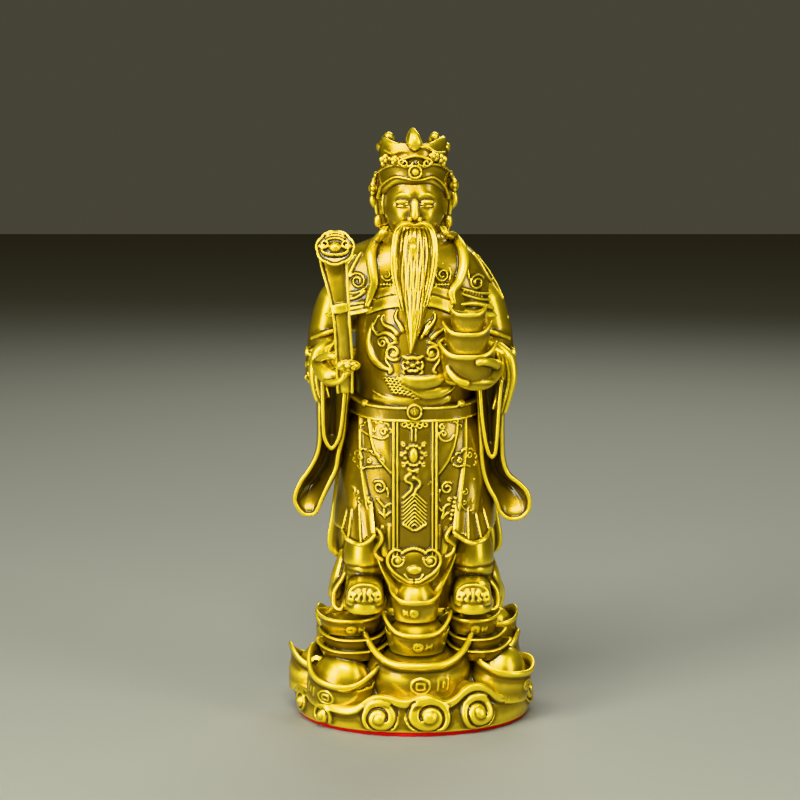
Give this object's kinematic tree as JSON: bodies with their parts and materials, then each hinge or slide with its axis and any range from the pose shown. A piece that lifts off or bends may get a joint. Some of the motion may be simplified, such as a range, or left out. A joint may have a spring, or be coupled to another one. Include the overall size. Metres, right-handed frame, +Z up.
{
  "type": "caishen figure",
  "caption": "Standing robed wealth-god figure with sceptre and gold ingots, cast on a low cloud plinth with a felt underside.",
  "frame": {"origin": "middle of the plinth's footprint, at the underside of the felt pad that the figure stands on", "axes": "+Z up, the figure faces -Y, and +X is to the viewer's right (the figure's left hand)"},
  "size_m": [0.086, 0.0721, 0.2],
  "materials": {
    "casting": "cast resin in satin antique-gold metallic paint with a brown wash in the recesses",
    "felt": "red felt"
  },
  "bodies": {
    "root": {"caishen_figure": "casting", "felt_pad": "felt"}
  },
  "joints": []
}
